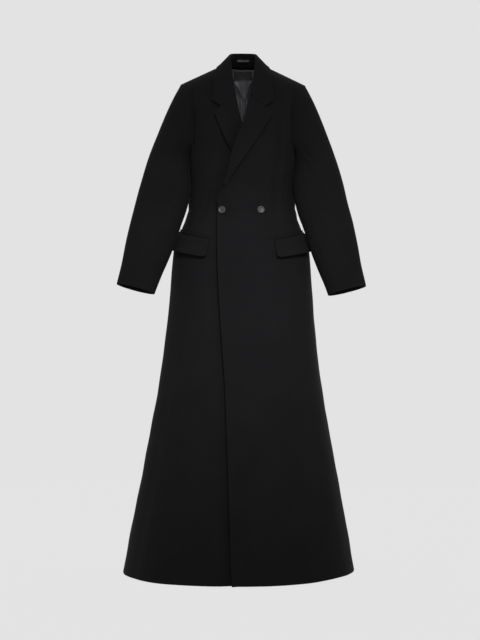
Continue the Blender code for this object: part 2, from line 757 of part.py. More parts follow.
def clear_of_body(points, lift):
    """Points near the neck moved out where they lie less than lift above the cloth of fronts and backs."""
    turn, height = np.meshgrid(np.linspace(-2, 2, 241), np.linspace(-0.16, 0.005, 56))
    skin = body_surface(turn, height)
    keep = shoulder_line(skin[..., 0]) >= height
    skin, normal = skin[keep], body_normals(turn[keep], height[keep])
    moved = points.copy()
    for _ in range(3):
        for place in np.ndindex(moved.shape[:-1]):
            nearest = np.argmin(np.sum((skin - moved[place]) ** 2, axis=1))
            above = np.dot(moved[place] - skin[nearest], normal[nearest])
            moved[place] += normal[nearest] * max(0.0, lift - above)
    return moved


def on_front(point, lift):
    """The point of the left front so far out and so high, moved outwards."""
    out, height = point
    return lifted(np.array([turn_at(out, height), height]), lift)


def collar_outer():
    """The collar's outer points, a row for each section from the right notch round the back to the left.

    With each row comes the direction of its thickness at the neck seam and how much that direction counts.
    """
    lie = LAPEL_GAP + CLOTH
    folds, seams, edges = [], [], []
    for station in COLLAR_STATIONS.each():
        height = shoulder_line(station.edge_x) - station.edge_drop
        edge_turn = turn_at(station.edge_x, height)
        edge_turn = edge_turn if station.face > 0 else 2 - edge_turn
        folds.append(np.array([station.fold_x, station.fold_y, station.fold_z]))
        seams.append(station.neck_place)
        edges.append([lifted(np.array([edge_turn, height]), lie)])
    folds.append(on_front((ROLL_LINE.at("out", GORGE_IN), GORGE_IN), LAY_GAP + CLOTH + 0.001))
    seams.append(2.0)
    edges.append([on_front(NOTCH, lie), on_front(COLLAR_TIP, lie)])
    tangents = unit(np.gradient(np.array(folds), axis=0))
    tangents[0] = (1.0, 0.0, 0.0)
    sections, backing = [], []
    for fold, place, edge, tangent in zip(folds, seams, edges, tangents):
        spot, ahead = neckline(place), min(place + 0.01, 2.0)
        out = body_normals(spot[0], spot[1])
        along_seam = lifted(neckline(ahead), 0) - lifted(neckline(ahead - 0.01), 0)
        onwards = unit(np.cross(along_seam, out))
        flat = 1 - np.clip(abs(place - 1) / 0.5, 0, 1)
        seam = lifted(spot, 0) + onwards * 1.3 * LAY_GAP + out * (LAY_GAP * flat - CLOTH * (1 - flat))
        sections.append(collar_section(fold, seam, edge, tangent))
        backing.append([*out, 1 - flat])
    half = np.array(sections)
    leaf = half[:, -LEAF_STEPS:]
    half[:, -LEAF_STEPS:] = clear_of_body(leaf, 2.2 * LAY_GAP + CLOTH)
    backing = np.array(backing)
    other = backing[:0:-1] * np.array([-1.0, 1.0, 1.0, 1.0])
    return np.concatenate([mirrored(half[:0:-1]), half]), np.concatenate([other, backing])


def grid_normals(points):
    return unit(np.cross(np.gradient(points, axis=0), np.gradient(points, axis=1)))


def make_collar(coat):
    outer, backing = collar_outer()
    normal = grid_normals(outer)
    middle = len(outer) // 2
    if normal[middle, STAND_STEPS + 2, 2] < 0:
        normal = -normal
    inner = outer - normal * CLOTH
    inner[:, 0] += (outer[:, 0] + backing[:, :3] * CLOTH - inner[:, 0]) * backing[:, 3:]
    wall(coat, "collar", outer, inner)
    return outer


def turn_after(first, lengths, height):
    """The places round the body that lie such lengths beyond a first one, along a level line."""
    turns = np.linspace(first - 0.1, first + 1.0, 400)
    points = body_surface(turns, height + 0 * turns)
    way = np.concatenate([[0], np.cumsum(np.linalg.norm(np.diff(points, axis=0), axis=1))])
    return np.interp(lengths + np.interp(first, turns, way), way, turns)


def flap_places(lengths, depths):
    """(turn, height) on the left hip: so far along the pocket's mouth and so far below it."""
    out, height = FLAP_START
    turns = turn_after(turn_at(out, height), lengths, height)
    return np.stack([turns, height + FLAP_RISE * lengths - depths], axis=-1)


def make_pockets(coat, columns=12, rows=6):
    share = np.linspace(0, 1, columns)
    lengths = FLAP_LENGTH * (share - 0.06 * np.sin(2 * math.pi * share))
    from_end = np.minimum(lengths, FLAP_LENGTH - lengths)
    cut = np.clip(1 - from_end / FLAP_CORNER, 0, 1)
    depth = FLAP_DEPTH - FLAP_CORNER * (1 - np.sqrt(1 - cut * cut))
    down = np.linspace(0, 1, rows)[:, None]
    flap = flap_places(np.broadcast_to(lengths, (rows, columns)), depth * down)
    lift = LAY_GAP + FLAP_LIFT * np.broadcast_to(down, (rows, columns)) ** 2
    jet_lengths = np.linspace(0, FLAP_LENGTH, columns)
    jet_depths = np.array([[-JET_GAP], [-JET_GAP - JET_DEPTH]])
    jet = flap_places(np.broadcast_to(jet_lengths, (2, columns)), jet_depths)
    for name, places, inner, thick in (
        ("pocket_flap", flap, lift, FLAP_THICK),
        ("pocket_jet", jet, JET_LIFT, JET_THICK),
    ):
        outer_points, inner_points = lifted(places, inner + thick), lifted(places, inner)
        wall(coat, name + "_left", outer_points, inner_points)
        wall(coat, name + "_right", mirrored(outer_points), mirrored(inner_points))


def button_mesh():
    """A turned button with a raised rim: its back lies at the origin and its face looks along +Z."""
    turned = bmesh.new()
    profile = [
        turned.verts.new((step.radius * BUTTON_RADIUS, 0, step.level * BUTTON_THICK))
        for step in BUTTON_PROFILE.each()
    ]
    edges = [turned.edges.new(pair) for pair in zip(profile, profile[1:])]
    bmesh.ops.spin(
        turned,
        geom=profile + edges,
        cent=(0, 0, 0),
        axis=(0, 0, 1),
        angle=2 * math.pi,
        steps=BUTTON_STEPS,
    )
    bmesh.ops.remove_doubles(turned, verts=turned.verts, dist=1e-5)
    bmesh.ops.recalc_face_normals(turned, faces=turned.faces)
    mesh = bpy.data.meshes.new("button")
    turned.to_mesh(mesh)
    turned.free()
    return mesh


def make_buttons(coat):
    mesh = button_mesh()
    for name, (out, height) in BUTTONS.items():
        spot = np.array([turn_at(out, height), height])
        made = add_object(name, mesh, "horn", coat)
        made.location = lifted(spot, LAY_GAP / 2)
        made.rotation_euler = Vector(body_normals(spot[0], spot[1])).to_track_quat("Z", "Y").to_euler()


def back_inside(out, height, depth):
    """Points inside the back, so far in from the outer cloth."""
    turn = turn_at(np.abs(out), height)
    place = np.stack([np.where(out < 0, 2 + turn, 2 - turn), height], axis=-1)
    return lifted(place, -depth)


def make_inside(coat, collar):
    """Lining, label and hanger loop, which show in the neck."""
    heights = LINING_TOP + (LINING_LOW - LINING_TOP) * np.linspace(1, 0, 11) ** 1.5
    out = LINING_WIDTH.at("half_width", heights)[:, None] * np.linspace(-1, 1, 15)
    level = np.broadcast_to(heights[:, None], out.shape)
    front = CLOTH + 3 * LAY_GAP
    inside = back_inside(out, level, front + LINING)
    wall(coat, "back_lining", back_inside(out, level, front), inside, "lining")
    half_width, half_height = LABEL_HALF
    label_heights = LABEL_MIDDLE + half_height * np.linspace(-1, 1, 4)
    out, level = np.meshgrid(np.linspace(-half_width, half_width, 7), label_heights)
    front = front + LINING + 1.5 * LAY_GAP
    inside = back_inside(out, level, front + LINING / 2)
    wall(coat, "neck_label", back_inside(out, level, front), inside, "label")
    middle = len(collar) // 2
    stand = collar[middle - 3 : middle + 4, 1:STAND_STEPS].mean(axis=1)
    half_length, half_width = LOOP_HALF
    out = np.linspace(-half_length, half_length, 9)
    clear = LAY_GAP / 2 + LOOP_STAND * (1 - (out / half_length) ** 2)
    y = np.interp(out, stand[:, 0], stand[:, 1]) - clear
    z = np.interp(out, stand[:, 0], stand[:, 2])
    back_face = np.array([np.stack([out, y, z + side * half_width], axis=-1) for side in (-1, 1)])
    wall(coat, "hanger_loop", back_face, back_face - np.array([0, LINING, 0]), "lining")


def clear_scene():
    for item in list(bpy.data.objects):
        bpy.data.objects.remove(item)


def main():
    clear_scene()
    coat = bpy.data.objects.new("coat", None)
    bpy.context.scene.collection.objects.link(coat)
    make_body(coat)
    make_sleeves(coat)
    make_lapels(coat)
    make_inside(coat, make_collar(coat))
    make_pockets(coat)
    make_buttons(coat)


main()
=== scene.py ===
# %% [markdown]
# # A floor-length wool coat
# This lesson dresses a plain solid model of a coat so that it looks like heavy black wool. The solids are
# loaded first. They fix where each panel lies, so every piece made below is a finer copy of one of them or
# sits on one, and nothing has to be fitted by eye. The box round the solids is kept, and the floor is set
# just below it.

# %% Load the solids
import math
from types import SimpleNamespace

import bmesh
import bpy
import numpy as np
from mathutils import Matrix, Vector
from mathutils.bvhtree import BVHTree


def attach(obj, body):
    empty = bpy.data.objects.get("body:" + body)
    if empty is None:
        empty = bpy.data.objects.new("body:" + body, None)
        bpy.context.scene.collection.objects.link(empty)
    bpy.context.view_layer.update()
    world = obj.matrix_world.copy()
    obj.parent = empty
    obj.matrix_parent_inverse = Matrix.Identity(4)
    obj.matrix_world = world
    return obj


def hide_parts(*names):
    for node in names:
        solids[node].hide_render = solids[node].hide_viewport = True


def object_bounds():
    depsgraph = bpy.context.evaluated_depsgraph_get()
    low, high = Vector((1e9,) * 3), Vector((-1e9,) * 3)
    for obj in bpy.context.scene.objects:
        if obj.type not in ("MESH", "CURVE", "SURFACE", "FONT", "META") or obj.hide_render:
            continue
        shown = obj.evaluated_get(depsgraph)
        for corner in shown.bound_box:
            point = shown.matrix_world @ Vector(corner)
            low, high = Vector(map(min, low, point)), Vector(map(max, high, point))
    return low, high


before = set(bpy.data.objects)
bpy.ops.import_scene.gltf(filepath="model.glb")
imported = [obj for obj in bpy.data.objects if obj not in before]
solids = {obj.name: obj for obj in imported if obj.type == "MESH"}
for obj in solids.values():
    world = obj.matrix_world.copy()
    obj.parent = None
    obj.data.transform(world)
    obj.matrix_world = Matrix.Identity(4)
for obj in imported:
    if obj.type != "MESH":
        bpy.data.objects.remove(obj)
solid_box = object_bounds()
low_corner, high_corner = ([round(x, 3) for x in corner] for corner in solid_box)
print(len(solids), "solids, from", low_corner, "to", high_corner)

# %% [markdown]
# ## Finishes
# A finish is a node tree. Written node by node it is long and hard to read, so a socket is wrapped in a
# small class here, and sums on sockets add Math nodes by themselves. Every other node comes from one
# method: it takes the node's type, its settings, and what goes into its sockets.

# %% Sockets that can be added and multiplied
class Flow:
    """An output socket in a finish. Arithmetic on it adds Math nodes."""

    def __init__(self, finish, socket):
        self.finish = finish
        self.socket = socket

    def maths(self, operation, first, second):
        return self.finish.node("ShaderNodeMath", {"operation": operation}, {0: first, 1: second})

    def __add__(self, other):
        return self.maths("ADD", self, other)

    def __sub__(self, other):
        return self.maths("SUBTRACT", self, other)

    def __rsub__(self, other):
        return self.maths("SUBTRACT", other, self)

    def __mul__(self, other):
        return self.maths("MULTIPLY", self, other)

    def __pow__(self, other):
        return self.maths("POWER", self, other)

    __radd__ = __add__
    __rmul__ = __mul__


class Finish:
    """A material with one Principled shader. Sizes that are the same all over are set on its sockets."""

    def __init__(self, name, **sockets):
        self.material = bpy.data.materials.new(name)
        self.material.use_nodes = True
        self.tree = self.material.node_tree
        self.shader = self.tree.nodes["Principled BSDF"]
        for socket, value in sockets.items():
            self.shader.inputs[socket.replace("_", " ")].default_value = value

    def node(self, kind, settings, sockets, output=0):
        made = self.tree.nodes.new(kind)
        for setting, value in settings.items():
            setattr(made, setting, value)
        for socket, value in sockets.items():
            self.feed(made.inputs[socket], value)
        return Flow(self, made.outputs[output])

    def feed(self, socket, value):
        if isinstance(value, Flow):
            self.tree.links.new(value.socket, socket)
        else:
            socket.default_value = value

    def place(self, stretch=(1, 1, 1)):
        """Places on the piece in metres, stretched along the axes."""
        place = self.node("ShaderNodeTexCoord", {}, {}, "Object")
        return self.node("ShaderNodeMapping", {}, {"Vector": place, "Scale": stretch})

    def noise(self, scale, detail, stretch=(1, 1, 1)):
        sockets = {"Vector": self.place(stretch), "Scale": scale, "Detail": detail, "Roughness": 0.6}
        return self.node("ShaderNodeTexNoise", {}, sockets, "Fac")

    def bands(self, axis, scale):
        """Even bands that follow each other along one axis."""
        sockets = {"Vector": self.place(), "Scale": scale}
        return self.node("ShaderNodeTexWave", {"bands_direction": axis}, sockets, "Fac")

    def blend(self, factor, dark, light):
        sockets = {"Factor": factor, 6: (*dark, 1), 7: (*light, 1)}
        return self.node("ShaderNodeMix", {"data_type": "RGBA"}, sockets, 2)

    def relief(self, height, depth, strength=1.0):
        sockets = {"Height": height, "Distance": depth, "Strength": strength}
        return self.node("ShaderNodeBump", {}, sockets, "Normal")

    def paint(self, **inputs):
        for socket, flow in inputs.items():
            self.feed(self.shader.inputs[socket.replace("_", " ")], flow)


# %% [markdown]
# Heavy coat wool is milled and brushed: the weave disappears under a short nap that lies downwards. So the
# relief is a fine noise stretched along the height, with a coarser one for the tufts, and the colour is an
# uneven black. The pale bloom on edges that turn away from the eye is the shader's sheen.

# %% Wool
wool = Finish(
    "black_wool",
    Sheen_Weight=0.02,
    Sheen_Roughness=0.45,
    Sheen_Tint=(0.62, 0.62, 0.66, 1),
    Specular_IOR_Level=0.04,
)
wool_nap = wool.noise(scale=1700, detail=3, stretch=(1, 1, 0.35))
wool_tufts = wool.noise(scale=420, detail=2, stretch=(1, 1, 0.6))
wool_clouds = wool.noise(scale=11, detail=3)
wool_shade = 0.45 * wool_clouds + 0.30 * wool_tufts + 0.25 * wool_nap
wool.paint(
    Base_Color=wool.blend(wool_shade, (0.0031, 0.0031, 0.0035), (0.0080, 0.0080, 0.0087)),
    Roughness=0.78 + 0.2 * wool_nap,
    Normal=wool.relief(wool_nap + 1.4 * wool_tufts, depth=0.0006, strength=0.5),
)
print("wool:", len(wool.tree.nodes), "nodes")

# %% [markdown]
# The lining is a satin. Its threads float along one direction, which makes it shine, and it creases
# sharply. The creases are shaped in the mesh further down. Here there is a fine rib along the threads and
# a slightly uneven gloss. The hanger loop is cut from the same satin. The lining's copy is painted much
# lighter than the loop's: painted light, standing in for the light that reaches it deep inside the neck.

# %% Satin, label weave, horn and thread
BLUE = 1.07


def satin(name, dark, light):
    """A glossy cloth between two greys, both slightly blue."""
    shiny = Finish(name, Specular_IOR_Level=0.55, Metallic=0.5)
    rib = shiny.noise(scale=1300, detail=1, stretch=(0.06, 1, 1))
    clouds = shiny.noise(scale=40, detail=2)
    shiny.paint(
        Base_Color=shiny.blend(clouds, (dark, dark, BLUE * dark), (light, light, BLUE * light)),
        Roughness=0.26 + 0.14 * clouds + 0.06 * rib,
        Normal=shiny.relief(rib, depth=0.0002, strength=0.3),
    )
    return shiny


# The lining's satin is painted much lighter than the loop's, as painted light for the dim inside of the
# neck.
lining_satin_painted_light = satin("lining_satin_painted_light", 0.18, 0.32)
loop_satin = satin("loop_satin", 0.022, 0.044)

weave = Finish("label_weave", Specular_IOR_Level=0.3)
weft = weave.bands("Z", 520)
warp = weave.bands("X", 380)
weave.paint(
    Base_Color=weave.blend(weft, (0.050, 0.050, 0.053), (0.095, 0.095, 0.100)),
    Roughness=0.5 + 0.15 * warp,
    Normal=weave.relief(weft + warp, depth=0.0002, strength=0.5),
)

horn = Finish("polished_horn", Specular_IOR_Level=0.3, Coat_Roughness=0.3)
horn_streaks = horn.noise(scale=300, detail=3, stretch=(0.35, 1, 1))
horn_dust = horn.noise(scale=2500, detail=1)
horn.paint(
    Base_Color=horn.blend(horn_streaks, (0.010, 0.010, 0.010), (0.042, 0.040, 0.039)),
    Roughness=0.36 + 0.12 * horn_dust,
    Coat_Weight=0.02 + 0.06 * horn_streaks,
)

thread = Finish("black_thread", Specular_IOR_Level=0.1)
twist = thread.noise(scale=2600, detail=1, stretch=(1, 1, 0.4))
thread.paint(
    Base_Color=thread.blend(twist, (0.0030, 0.0030, 0.0034), (0.0085, 0.0085, 0.0092)),
    Roughness=0.5 + 0.2 * twist,
    Normal=thread.relief(twist, depth=0.0002, strength=0.4),
)
print("finishes:", [m.name for m in bpy.data.materials if m.node_tree and len(m.node_tree.nodes) > 5])

# %% [markdown]
# ## From a solid to cloth
# Each cloth solid is a thin closed wall with square edges, a hair's breadth from its neighbours. A finer
# copy is made in five moves: the triangles are joined back into four-sided faces, the rim is let out a
# little so that sewn edges meet, the square edges are rounded as turned wool is, the faces are subdivided,
# and the result is kept as plain points, which can then be pushed about.

# %% Finer cloth
SQUARE_TURN = math.radians(50)


def let_out(wall, square, reach):
    """Moves the rim of a wall outwards; its faces lie between two square edges that don't touch."""
    turned = {}
    for face in wall.faces:
        sharp = [edge for edge in face.edges if edge in square]
        if any(not set(one.verts) & set(two.verts) for one in sharp for two in sharp):
            for vertex in face.verts:
                turned.setdefault(vertex, []).append(face.normal.copy())
    for vertex, normals in turned.items():
        out = sum(normals, Vector()).normalized()
        vertex.co += out * reach / max(0.5, out.dot(normals[0]))


def finer(node, levels, reach, edge=0.0008):
    """A smooth, dense copy of a solid's wall with rounded edges."""
    wall = bmesh.new()
    wall.from_mesh(solids[node].data)
    bmesh.ops.remove_doubles(wall, verts=wall.verts, dist=1e-5)
    bmesh.ops.join_triangles(wall, faces=wall.faces, angle_face_threshold=3.1, angle_shape_threshold=3.1)
    wall.normal_update()
    square = {e for e in wall.edges if e.calc_face_angle(0) > SQUARE_TURN}
    let_out(wall, square, reach)
    rounding = {"offset": edge, "segments": 2, "profile": 0.5, "affect": "EDGES", "clamp_overlap": True}
    bmesh.ops.bevel(wall, geom=list(square), **rounding)
    mesh = bpy.data.meshes.new(node)
    wall.to_mesh(mesh)
    wall.free()
    piece = bpy.data.objects.new("cloth_" + node, mesh)
    bpy.context.scene.collection.objects.link(piece)
    fine = piece.modifiers.new("finer", "SUBSURF")
    fine.levels = fine.render_levels = levels
    dense = bpy.data.meshes.new_from_object(piece.evaluated_get(bpy.context.evaluated_depsgraph_get()))
    piece.modifiers.clear()
    piece.data = dense
    dense.materials.clear()
    dense.shade_smooth()
    return piece


def points_of(piece):
    points = np.empty(len(piece.data.vertices) * 3)
    piece.data.vertices.foreach_get("co", points)
    return points.reshape(-1, 3)


def put_points(piece, points):
    piece.data.vertices.foreach_set("co", points.reshape(-1))
    piece.data.update()


def dress(piece, node, finish):
    """Gives a piece its finish and lets it stand for its solid."""
    piece.data.materials.append(finish.material)
    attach(piece, "root")
    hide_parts(node)


def rows(names, *values):
    """A table: the names of its columns, then its rows."""
    return [SimpleNamespace(**dict(zip(names.split(), row))) for row in values]


def columns(table, names):
    return [[getattr(row, name) for row in table] for name in names.split()]


# %% [markdown]
# ## Folds
# A fold is given as one row: it runs from one place on the cloth to another, it has a width, and it pushes
# the cloth out (a ridge) or in (a trough). It dies away towards both ends. Every layer that lies on the
# same panel is pushed by the same rule, so the layers stay clear of each other.

# %% Pushing cloth along folds
FOLD = "from_turn from_height to_turn to_height bow width push"
FADE = 0.7


def fold_push(turn, height, quarters, folds):
    """How far the folds push each point; quarters gives the length of one turn at some heights."""
    push = np.zeros(len(turn))
    for fold in folds:
        middle = np.interp((fold.from_height + fold.to_height) / 2, *quarters)
        away = (turn - fold.from_turn + 2) % 4 - 2
        drop = height - fold.from_height
        run = np.array([(fold.to_turn - fold.from_turn) * middle, fold.to_height - fold.from_height])
        length = np.linalg.norm(run)
        t = np.clip((away * middle * run[0] + drop * run[1]) / length**2, 0, 1)
        across = (away - t * (fold.to_turn - fold.from_turn)) * np.interp(height, *quarters)
        side = ((drop - t * run[1]) * run[0] - across * run[1]) / length - 4 * fold.bow * t * (1 - t)
        push += fold.push * np.abs(np.sin(math.pi * t)) ** FADE * np.exp(-((side / fold.width) ** 2))
    return push


WAVES = rows(
    "x y z shift",
    (38, 21, 17, 0.3), (-27, 33, 29, 1.7), (19, -41, 46, 4.1), (61, 13, -22, 2.2), (-45, -37, 62, 5.0),
)


def unevenness(points):
    """A slow, irregular wave between about -1 and 1, because no hanging cloth is quite even."""
    return sum(np.sin(points @ (wave.x, wave.y, wave.z) + wave.shift) for wave in WAVES) / 2.5


def ease(start, end, value):
    """0 at start, 1 at end and smooth between them."""
    t = np.clip((value - start) / (end - start), 0, 1)
    return t * t * (3 - 2 * t)


# %% [markdown]
# On the body a place is a turn round it, 0 in front, 1 at the wearer's left, 2 behind and -1 at the right,
# and a height. The coat is pulled in at the waist, so there are troughs along the two front seams, short
# creases at the sides of the waist, faint pulls from the fastened button, and slants below the armholes on
# the back. A narrow trough follows each armhole in front and each pocket mouth. The flared skirt falls in
# long, low waves down to the hem, and no two waves are alike.

# %% Folds of the body
BODY_DEPTH = 0.6
SIDEWAYS = 0.4
BODY_UNEVENNESS, BODY_UNEVEN_FROM = 0.0007, (-0.20, -0.30)
BODY_QUARTERS = ((-1.53, -1.0, -0.6, -0.43, -0.26, 0.0), (0.50, 0.36, 0.285, 0.215, 0.235, 0.20))
BODY_FOLDS = rows(
    FOLD,
    (0.375, -0.085, 0.370, -0.490, 0.003, 0.010, -0.0095),
    (0.440, -0.110, 0.430, -0.460, 0.003, 0.016, 0.0025),
    (0.610, -0.070, 0.575, -0.210, 0.000, 0.007, -0.0060),
    (0.570, -0.140, 0.660, -0.265, 0.000, 0.007, -0.0080),
    (-0.610, -0.070, -0.575, -0.210, 0.000, 0.007, -0.0060),
    (-0.570, -0.140, -0.660, -0.265, 0.000, 0.007, -0.0080),
    (-0.47, -0.180, -0.50, -0.490, -0.004, 0.018, -0.0022),
    (-0.33, -0.200, -0.38, -0.440, 0.000, 0.014, -0.0014),
    (-0.16, -0.445, 0.30, -0.405, 0.004, 0.008, 0.0010),
    (-0.15, -0.452, 0.36, -0.478, -0.004, 0.008, 0.0008),
    (-0.27, -0.447, -0.62, -0.415, -0.003, 0.008, 0.0010),
    (-0.27, -0.455, -0.66, -0.472, 0.003, 0.008, 0.0008),
    (0.72, -0.430, 1.25, -0.445, 0.004, 0.010, -0.0022),
    (0.80, -0.465, 1.20, -0.455, -0.003, 0.009, -0.0016),
    (-0.70, -0.440, -1.22, -0.430, 0.004, 0.010, -0.0020),
    (-0.78, -0.400, -1.15, -0.410, -0.003, 0.009, -0.0014),
    (1.30, -0.250, 1.72, -0.310, 0.006, 0.012, 0.0020),
    (1.28, -0.285, 1.66, -0.355, 0.006, 0.012, 0.0015),
    (-1.30, -0.255, -1.70, -0.325, -0.006, 0.012, 0.0019),
    (-1.27, -0.290, -1.64, -0.360, -0.006, 0.012, 0.0014),
    (2.00, -0.240, 2.00, -0.600, 0.002, 0.022, -0.0030),
    (1.45, -0.420, 1.95, -0.432, 0.004, 0.011, -0.0018),
    (-1.48, -0.452, -1.93, -0.440, 0.004, 0.011, -0.0016),
    (0.10, -0.541, 1.08, -0.495, 0.000, 0.0045, -0.0050),
    (-0.10, -0.541, -1.08, -0.495, 0.000, 0.0045, -0.0050),
    (0.06, -0.620, 0.12, -1.800, 0.010, 0.035, 0.0022),
    (0.33, -0.680, 0.40, -1.800, 0.010, 0.030, -0.0028),
    (0.62, -0.700, 0.66, -1.800, -0.010, 0.040, 0.0028),
    (0.90, -0.660, 0.93, -1.800, 0.000, 0.034, -0.0028),
    (1.22, -0.620, 1.24, -1.800, 0.010, 0.036, 0.0030),
    (1.50, -0.680, 1.53, -1.800, -0.010, 0.034, -0.0028),
    (1.80, -0.640, 1.77, -1.800, 0.000, 0.040, 0.0028),
    (-1.74, -0.660, -1.70, -1.800, 0.000, 0.036, -0.0026),
    (-1.42, -0.640, -1.45, -1.800, 0.010, 0.040, 0.0030),
    (-1.12, -0.680, -1.10, -1.800, 0.000, 0.034, -0.0028),
    (-0.82, -0.650, -0.80, -1.800, 0.010, 0.038, 0.0026),
    (-0.56, -0.700, -0.60, -1.800, 0.000, 0.032, -0.0028),
    (-0.30, -0.640, -0.36, -1.800, -0.010, 0.036, 0.0022),
)


def push_body(points, extra=()):
    """Pushes the body, or a layer that lies on it, along the folds; extra folds are the layer's own."""
    across, ahead, height = points.T
    turn = np.arctan2(BODY_DEPTH * across, -ahead) / (math.pi / 2)
    push = fold_push(turn, height, BODY_QUARTERS, [*BODY_FOLDS, *extra])
    push += BODY_UNEVENNESS * unevenness(points) * ease(*BODY_UNEVEN_FROM, height)
    outward = np.stack([SIDEWAYS * across, ahead, 0 * height], axis=1)
    return points + outward / np.linalg.norm(outward, axis=1, keepdims=True) * push[:, None]


print(len(BODY_FOLDS), "folds on the body")

# %% [markdown]
# A sleeve is a bent tube, so a place on it is a turn round its own middle line, 0 on the outside, 1 in
# front, 2 next to the body and 3 behind. A hanging arm creases the cloth in the crook of the elbow and
# from the armpit downwards, and leaves long soft pulls on the outside. The sewn head follows the body's own
# folds, so that the armhole seam stays closed.

# %% Folds of the sleeves
SLEEVE_UNEVENNESS, SLEEVE_UNEVEN_FROM = 0.0006, (-0.22, -0.30)
SEWN_ACROSS, SEWN_HEIGHT = (0.190, 0.165), (-0.30, -0.26)
SLEEVE_QUARTERS = ((-0.69, -0.50, -0.30, -0.10), (0.072, 0.086, 0.100, 0.105))
SLEEVE_MIDDLE = rows(
    "height out back",
    (-0.6785, 0.3150, -0.072), (-0.5910, 0.2875, -0.070), (-0.5195, 0.2675, -0.066),
    (-0.4565, 0.2520, -0.048), (-0.4035, 0.2390, -0.040), (-0.3455, 0.2270, -0.034),
    (-0.2970, 0.2200, -0.020), (-0.2545, 0.2110, -0.006), (-0.1000, 0.1850, 0.000),
)
LEFT_SLEEVE_FOLDS = rows(
    FOLD,
    (0.55, -0.400, 1.75, -0.455, 0.004, 0.009, -0.0028),
    (0.70, -0.442, 1.80, -0.482, 0.004, 0.008, -0.0022),
    (0.90, -0.372, 1.70, -0.404, 0.003, 0.009, -0.0016),
    (1.50, -0.240, 0.95, -0.330, -0.006, 0.011, -0.0024),
    (1.55, -0.275, 1.05, -0.385, -0.005, 0.010, -0.0018),
    (1.86, -0.150, 1.84, -0.480, 0.000, 0.032, 0.0060),
    (1.90, -0.330, 1.86, -0.520, 0.000, 0.030, 0.0052),
    (0.30, -0.220, 0.22, -0.620, 0.006, 0.018, 0.0014),
    (0.62, -0.250, 0.56, -0.560, -0.004, 0.014, -0.0012),
    (3.70, -0.230, 3.66, -0.580, 0.004, 0.018, -0.0016),
    (3.30, -0.410, 2.40, -0.452, 0.004, 0.010, -0.0022),
    (3.10, -0.455, 2.45, -0.480, 0.004, 0.009, -0.0016),
    (0.50, -0.590, 1.20, -0.648, 0.003, 0.012, 0.0010),
)
RIGHT_SLEEVE_FOLDS = rows(
    FOLD,
    (0.48, -0.412, 1.70, -0.450, 0.005, 0.009, -0.0026),
    (0.75, -0.450, 1.82, -0.494, 0.003, 0.008, -0.0020),
    (0.85, -0.380, 1.66, -0.412, 0.003, 0.009, -0.0018),
    (1.48, -0.245, 0.90, -0.345, -0.006, 0.011, -0.0022),
    (1.56, -0.285, 1.00, -0.372, -0.005, 0.010, -0.0018),
    (1.86, -0.150, 1.84, -0.480, 0.000, 0.032, 0.0060),
    (1.90, -0.330, 1.86, -0.520, 0.000, 0.030, 0.0052),
    (0.22, -0.210, 0.28, -0.600, 0.006, 0.020, 0.0014),
    (0.58, -0.240, 0.62, -0.520, -0.004, 0.014, -0.0014),
    (3.62, -0.240, 3.70, -0.560, 0.004, 0.018, -0.0016),
    (3.24, -0.402, 2.38, -0.462, 0.004, 0.010, -0.0020),
    (3.05, -0.448, 2.40, -0.486, 0.004, 0.009, -0.0016),
    (0.62, -0.575, 1.15, -0.655, 0.003, 0.012, 0.0010),
)


def push_sleeve(points, side, folds):
    """Pushes a sleeve along its folds; side is 1 for the left one and -1 for the right one."""
    heights, outs, backs = columns(SLEEVE_MIDDLE, "height out back")
    height = points[:, 2]
    across = points[:, 0] - side * np.interp(height, heights, outs)
    back = points[:, 1] - np.interp(height, heights, backs)
    turn = np.arctan2(-back, side * across) / (math.pi / 2)
    push = fold_push(turn, height, SLEEVE_QUARTERS, folds)
    push += SLEEVE_UNEVENNESS * unevenness(points) * ease(*SLEEVE_UNEVEN_FROM, height)
    outward = np.stack([across, back, 0 * height], axis=1)
    pushed = points + outward / np.linalg.norm(outward, axis=1, keepdims=True) * push[:, None]
    sewn = ease(*SEWN_ACROSS, np.abs(points[:, 0])) * ease(*SEWN_HEIGHT, height)
    return pushed + (push_body(points) - points) * sewn[:, None]


print(len(LEFT_SLEEVE_FOLDS), "folds on the left sleeve and", len(RIGHT_SLEEVE_FOLDS), "on the right")

# %% [markdown]
# ## Loose edges
# A lapel, the points of a collar and a pocket flap are only held along one side. Their loose edges curl off
# the cloth below, and the dark line under them is what shows the cut of a black coat. A lapel rises from
# its roll line to its edge. The right one stays flat where the left front covers it. The left front lifts
# along its free edge in the same way, and the right front sinks a little below it.

# %% Curling the loose edges
LAPEL_CURL, LAPEL_FROM, LAPEL_COVERED = 0.0050, (-0.375, -0.30), (0.022, 0.002)
FRONT_CURL, CURL_WIDTH, CURL_FROM = 0.0070, 0.018, (-0.10, -0.20)
FRONT_SINK, SINK_WIDTH, SINK_FROM = 0.0062, 0.022, (-0.10, -0.26)
COLLAR_CURL, POINT_ACROSS, POINT_HEIGHT = 0.0060, (0.050, 0.090), (-0.02, -0.10)
BUTTON_HEIGHT, HOLD_WIDTH, HOLD = -0.4442, 0.02, 0.9
LAPEL_LINES = rows(
    "height roll left right",
    (-0.370, -0.0565, -0.0465, -0.0450), (-0.307, -0.0390, -0.0070, 0.0040),
    (-0.228, -0.0150, 0.0462, 0.0530), (-0.157, 0.0092, 0.0885, 0.0818),
    (-0.100, 0.0205, 0.1050, 0.1050),
)
FLAP_FOLDS = rows(
    FOLD,
    (0.06, -0.594, 1.12, -0.544, 0.000, 0.016, 0.0060),
    (-0.06, -0.594, -1.12, -0.544, 0.000, 0.016, 0.0060),
)


def curl_lapel(points, side, edge_name):
    """A lapel rises towards its own edge, most where it is widest."""
    across, height = points[:, 0], points[:, 2]
    heights, rolls, edges = columns(LAPEL_LINES, "height roll " + edge_name)
    roll = np.interp(height, heights, rolls)
    edge = np.interp(height, heights, edges)
    share = np.clip((side * across - roll) / (edge - roll), 0, 1)
    covered = ease(*LAPEL_COVERED, roll - across) if side < 0 else 0
    rise = LAPEL_CURL * share**2 * ease(*LAPEL_FROM, height) * (1 - covered)
    return points - np.outer(rise, (0, 1, 0))


